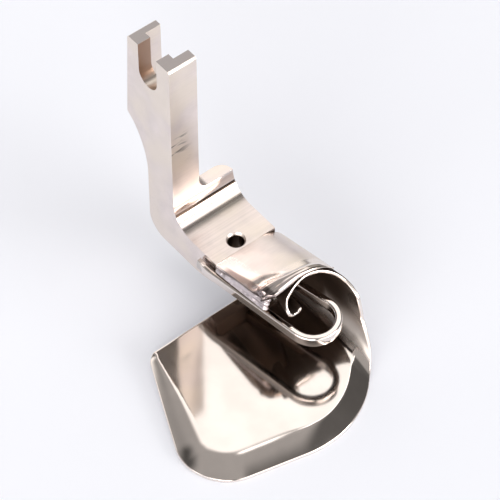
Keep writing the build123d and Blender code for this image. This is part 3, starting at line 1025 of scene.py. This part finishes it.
class HEMMER_OT_shank(bpy.types.Operator):
    """Shank and sole, with eased edges"""

    bl_idname = "hemmer.shank"
    bl_label = "Shank and Sole"

    def execute(self, context):
        finish = context.scene.hemmer_finish
        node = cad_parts["shank_and_sole"]
        work = bmesh.new()
        work.from_mesh(node.data)
        bmesh.ops.remove_doubles(work, verts=work.verts, dist=0.001 * MM)
        nearly_flat = math.radians(1)
        bmesh.ops.dissolve_limit(work, angle_limit=nearly_flat, verts=work.verts, edges=work.edges)
        for face in work.faces:
            face.smooth = True
        mesh = bpy.data.meshes.new("milled_foot")
        work.to_mesh(mesh)
        work.free()
        mesh.set_sharp_from_angle(angle=finish.edge_angle)
        mesh.materials.append(satin_nickel("satin_nickel_foot", milled=True))
        piece = bpy.data.objects.new("milled_foot", mesh)
        context.scene.collection.objects.link(piece)
        bevel = piece.modifiers.new("edges", "BEVEL")
        bevel.width = finish.edge_bevel
        bevel.segments = 3
        bevel.limit_method = "ANGLE"
        bevel.angle_limit = finish.edge_angle
        bevel.harden_normals = True
        settle(piece, "shank_and_sole")
        return {"FINISHED"}


class HEMMER_OT_cover(bpy.types.Operator):
    """Formed cover with a flared rim"""

    bl_idname = "hemmer.cover"
    bl_label = "Cover"

    def execute(self, context):
        outer, inner = cover_grids()
        material = satin_nickel("satin_nickel_cover", milled=False)
        bulges = (COVER_EDGE_BULGE, COVER_RIM_BULGE)
        piece = shell("formed_cover", outer, inner, material, *bulges, COVER_RIM_STEPS)
        settle(piece, "cover")
        return {"FINISHED"}


class HEMMER_OT_scroll(bpy.types.Operator):
    """Scroll plate: lip, wall, roof and curl in one sheet"""

    bl_idname = "hemmer.scroll"
    bl_label = "Scroll Plate"

    def execute(self, context):
        outer, inner = scroll_grids()
        material = polished_nickel("polished_nickel_scroll", painted_inside_shade=True)
        piece = shell("polished_scroll", outer, inner, material, RIM_BULGE, RIM_BULGE, RIM_STEPS)
        settle(piece, "scroll_plate")
        return {"FINISHED"}


class HEMMER_OT_tongue(bpy.types.Operator):
    """Tongue: a rounded bar bent round its tip"""

    bl_idname = "hemmer.tongue"
    bl_label = "Tongue"

    def execute(self, context):
        roof = context.scene.hemmer_roof
        middle = roof.sole_top - roof.rear_thickness - context.scene.hemmer_tongue.height / 2
        vertices, faces = swept_bar(tongue_line(), bar_section(), middle)
        material = polished_nickel("polished_nickel_tongue", painted_inside_shade=False)
        piece = link_mesh("polished_tongue", vertices, faces, material)
        settle(piece, "tongue")
        return {"FINISHED"}


def seam_nodes(material):
    """Node tree that lays lumps along a line and melts them into one bead."""
    seam = bpy.context.scene.hemmer_seam
    tree = bpy.data.node_groups.new("solder_bead", "GeometryNodeTree")
    tree.interface.new_socket("Geometry", in_out="INPUT", socket_type="NodeSocketGeometry")
    inputs = {}
    for name, kind in (("Lumps", "Int"), ("Bead", "Float"), ("Lump", "Float"), ("Seed", "Int")):
        socket = tree.interface.new_socket(name, in_out="INPUT", socket_type="NodeSocket" + kind)
        inputs[name] = socket.identifier
    tree.interface.new_socket("Geometry", in_out="OUTPUT", socket_type="NodeSocketGeometry")
    nodes = Nodes(tree)
    start = nodes.add("NodeGroupInput")
    given = {socket.name: Value(nodes, socket) for socket in start.socket.node.outputs if socket.name}
    line = given["Geometry"]
    points = nodes.add("GeometryNodeCurveToPoints", {"mode": "COUNT"}, {0: line, 1: given["Lumps"]})
    limits = {2: seam.smallest, 3: 1.0, 8: given["Seed"]}
    share = nodes.add("FunctionNodeRandomValue", {"data_type": "FLOAT"}, limits, 1)
    ball = nodes.add("GeometryNodeMeshIcoSphere", None, {0: 1.0, 1: 2})
    placed = {"Points": points, "Instance": ball, "Scale": share * given["Lump"]}
    lumps = nodes.add("GeometryNodeInstanceOnPoints", None, placed)
    ring = nodes.add("GeometryNodeCurvePrimitiveCircle", None, {"Resolution": 12, "Radius": given["Bead"]})
    bead = nodes.add("GeometryNodeCurveToMesh", None, {0: line, 1: ring, "Fill Caps": True})
    solid = nodes.add("GeometryNodeRealizeInstances", None, {0: lumps})
    joined = nodes.add("GeometryNodeJoinGeometry")
    for part in (solid, bead):
        tree.links.new(part.socket, joined.socket.node.inputs[0])
    cells = {"resolution_mode": "VOXEL_SIZE"}
    volume = nodes.add("GeometryNodeMeshToVolume", cells, {"Mesh": joined, "Voxel Size": seam.voxel})
    skin = nodes.add("GeometryNodeVolumeToMesh", cells, {"Volume": volume, "Voxel Size": seam.voxel})
    whole = nodes.add("GeometryNodeRealizeInstances", None, {0: skin})
    smooth_skin = nodes.add("GeometryNodeSetShadeSmooth", None, {0: whole})
    painted = nodes.add("GeometryNodeSetMaterial", None, {0: smooth_skin, "Material": material})
    nodes.add("NodeGroupOutput", None, {0: painted})
    return tree, inputs


class HEMMER_OT_seam(bpy.types.Operator):
    """Lumpy solder bead between cover and tongue"""

    bl_idname = "hemmer.seam"
    bl_label = "Solder Seam"

    def execute(self, context):
        scene = context.scene
        seam, roof = scene.hemmer_seam, scene.hemmer_roof
        level = roof.sole_top - roof.rear_thickness
        rear = np.array([-roof.sole_left, seam.rear, level])
        front = np.array([seam.front_x, seam.front, level])
        curve = bpy.data.curves.new("solder_line", "CURVE")
        curve.dimensions = "3D"
        for start, low, high in SEAM_LAYERS:
            spline = curve.splines.new("POLY")
            spline.points.add(2)
            for point, share in zip(spline.points, (0, 0.5, 1)):
                x, y, z = mix(rear, front, mix(start, 1.0, share))
                rise = mix(low, high, share) * MM
                point.co = (x + rise * seam.lean, y, z + rise, 1)
        line = bpy.data.objects.new("solder_line", curve)
        scene.collection.objects.link(line)
        tree, inputs = seam_nodes(solder_metal("solder"))
        modifier = line.modifiers.new("bead", "NODES")
        modifier.node_group = tree
        values = {"Lumps": seam.lumps, "Bead": seam.radius, "Lump": seam.lump, "Seed": seam.seed}
        for name, value in values.items():
            modifier[inputs[name]] = value
        graph = context.evaluated_depsgraph_get()
        mesh = bpy.data.meshes.new_from_object(line.evaluated_get(graph))
        bpy.data.objects.remove(line)
        if not mesh.polygons:
            raise RuntimeError("the solder bead came out empty")
        piece = bpy.data.objects.new("solder_bead", mesh)
        scene.collection.objects.link(piece)
        settle(piece, "solder_seam")
        return {"FINISHED"}


def studio_world():
    """Bright and dark panels round the foot, each over the ones before it; the camera sees plain white."""
    studio = bpy.context.scene.hemmer_studio
    world = bpy.data.worlds.new("studio")
    bpy.context.scene.world = world
    world.use_nodes = True
    nodes = Nodes(world.node_tree)
    way = nodes.add("ShaderNodeTexCoord", None, None, "Generated")
    height = nodes.parts(way)[2]
    light = studio.sky - height.step(0.2, 0.0) * studio.horizon
    least_depth = 0.05
    for centre, (wide, tall), blur, level in PANELS.values():
        middle = Vector(centre).normalized()
        side = middle.cross(Vector((0, 0, 1))).normalized()
        top = side.cross(middle)
        depth = nodes.dot(way, middle)
        across = (nodes.dot(way, side) / depth.at_least(least_depth)).size()
        upward = (nodes.dot(way, top) / depth.at_least(least_depth)).size()
        mask = across.step(wide + blur, wide - blur) * upward.step(tall + blur, tall - blur)
        mask = mask * depth.step(least_depth, 0.2)
        light = light * (1 - mask) + mask * level
    tinted = {0: tuple(studio.lamp), "Scale": light}
    glow = nodes.add("ShaderNodeVectorMath", {"operation": "SCALE"}, tinted)
    panels = nodes.add("ShaderNodeBackground", None, {"Color": glow})
    plain = nodes.add("ShaderNodeBackground", None, {"Color": rgba(studio.backdrop)})
    camera = nodes.add("ShaderNodeLightPath", None, None, "Is Camera Ray")
    surface = nodes.add("ShaderNodeMixShader", None, {0: camera, 1: panels, 2: plain})
    nodes.add("ShaderNodeOutputWorld", None, {"Surface": surface})


def studio_floor():
    """Pale floor under the lowest edge of the foot; reflections see it end a little way off."""
    studio = bpy.context.scene.hemmer_studio
    level = CAD_BOX[0][2] - studio.floor_gap
    reach = studio.floor_reach
    corners = [(-reach, -reach, level), (reach, -reach, level), (reach, reach, level), (-reach, reach, level)]
    material, nodes = new_material("floor")
    x, y, _ = nodes.parts(nodes.here())
    rays = nodes.add("ShaderNodeLightPath").socket.node.outputs
    camera, glossy, through = (
        Value(nodes, rays[name]) for name in ("Is Camera Ray", "Is Glossy Ray", "Is Transmission Ray")
    )
    end = ((x * x + y * y) ** 0.5).step(studio.floor_fade, studio.floor_end) * (1 - camera)
    diffuse = nodes.add("ShaderNodeBsdfDiffuse", None, {"Color": rgba(studio.floor)})
    white = nodes.mixed(end, studio.backdrop, scaled(studio.backdrop, studio.floor_dark))
    glow = nodes.add("ShaderNodeEmission", None, {"Color": white})
    seen = camera.at_least(glossy).at_least(through)
    share = seen * (studio.glow + end * (1 - studio.glow))
    surface = nodes.add("ShaderNodeMixShader", None, {0: share, 1: diffuse, 2: glow})
    nodes.add("ShaderNodeOutputMaterial", None, {"Surface": surface})
    floor = link_mesh("floor", corners, [[0, 1, 2, 3]], material, rounded=False)


def studio_camera():
    """Camera as fitted to the straight edges of the shank."""
    studio = bpy.context.scene.hemmer_studio
    a, e = studio.azimuth, studio.elevation
    right = Vector((math.cos(a), math.sin(a), 0))
    back = Vector((math.sin(a) * math.cos(e), -math.cos(a) * math.cos(e), math.sin(e)))
    up = back.cross(right)
    data = bpy.data.cameras.new("camera")
    data.lens = studio.lens
    data.sensor_width = studio.sensor
    camera = bpy.data.objects.new("camera", data)
    bpy.context.scene.collection.objects.link(camera)
    turn = Matrix((right, up, back)).transposed().to_4x4()
    place = right * studio.across + up * studio.upward + back * studio.distance
    camera.matrix_world = Matrix.Translation(place + Vector((0, 0, studio.lift))) @ turn
    bpy.context.scene.camera = camera


class HEMMER_OT_stage(bpy.types.Operator):
    """Floor, light and camera"""

    bl_idname = "hemmer.stage"
    bl_label = "Stage"

    def execute(self, context):
        studio_world()
        studio_floor()
        studio_camera()
        context.scene.view_settings.view_transform = "Standard"
        return {"FINISHED"}


class HEMMER_PT_sidebar(bpy.types.Panel):
    """Lists the steps in order"""

    bl_idname = "HEMMER_PT_sidebar"
    bl_label = "Hemming Presser Foot"
    bl_space_type = "VIEW_3D"
    bl_region_type = "UI"
    bl_category = "Hemmer"

    def draw(self, context):
        for step in STEPS:
            self.layout.operator(step.bl_idname)


STEPS = [
    HEMMER_OT_shank,
    HEMMER_OT_cover,
    HEMMER_OT_scroll,
    HEMMER_OT_tongue,
    HEMMER_OT_seam,
    HEMMER_OT_stage,
]
CLASSES = [*PROPERTY_GROUPS.values(), *STEPS, HEMMER_PT_sidebar]


def register():
    for item in CLASSES:
        bpy.utils.register_class(item)
    for name, group in PROPERTY_GROUPS.items():
        setattr(bpy.types.Scene, name, PointerProperty(type=group))


def unregister():
    for name in PROPERTY_GROUPS:
        delattr(bpy.types.Scene, name)
    for item in reversed(CLASSES):
        bpy.utils.unregister_class(item)


def main():
    register()
    for step in STEPS:
        group, name = step.bl_idname.split(".")
        getattr(getattr(bpy.ops, group), name)()
    bpy.context.view_layer.update()


if __name__ == "__main__":
    main()
